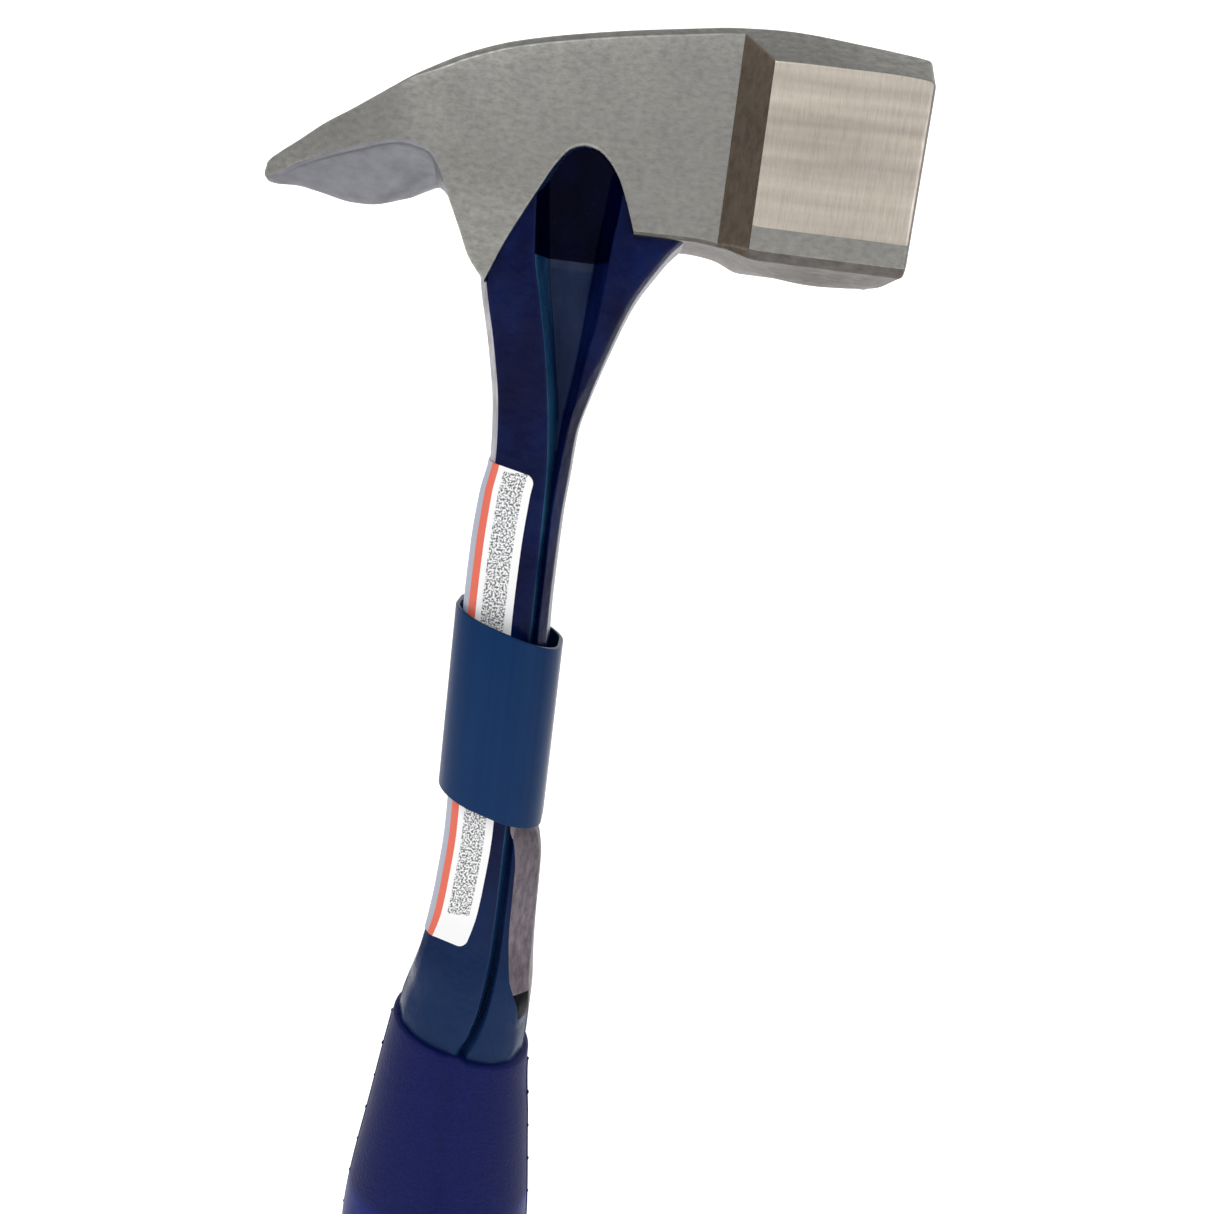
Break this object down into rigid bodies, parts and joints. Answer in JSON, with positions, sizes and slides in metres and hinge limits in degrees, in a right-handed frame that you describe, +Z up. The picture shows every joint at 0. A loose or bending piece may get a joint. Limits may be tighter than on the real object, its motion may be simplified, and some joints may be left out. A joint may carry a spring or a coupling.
{
  "type": "one-piece forged hammer",
  "caption": "Hand hammer forged in one with its shank: square striking poll, short tapered point, moulded grip, wrap-round label and a loose sliding band.",
  "frame": {"origin": "centre of the square striking face", "axes": "+X out of the striking face, +Z up the handle towards the top of the head, +Y across the cheeks"},
  "size_m": [0.1035, 0.032, 0.3095],
  "materials": {
    "forged_steel": "satin ground steel, painted dark blue on the neck and the sides of the shank",
    "blue_vinyl": "fine leathery grain, matt",
    "label_paper": "white coated paper with a red stripe and a grey block of dots",
    "band_plastic": "satin blue"
  },
  "bodies": {
    "hammer": {"forged_body": "forged_steel", "moulded_grip": "blue_vinyl", "neck_label": "label_paper"},
    "band": {"loose_band": "band_plastic"}
  },
  "joints": [
    {"name": "band_slide", "type": "slide", "parent": "hammer", "child": "band", "axis": [0, 0, 1], "range_m": [0, 0.036]}
  ]
}
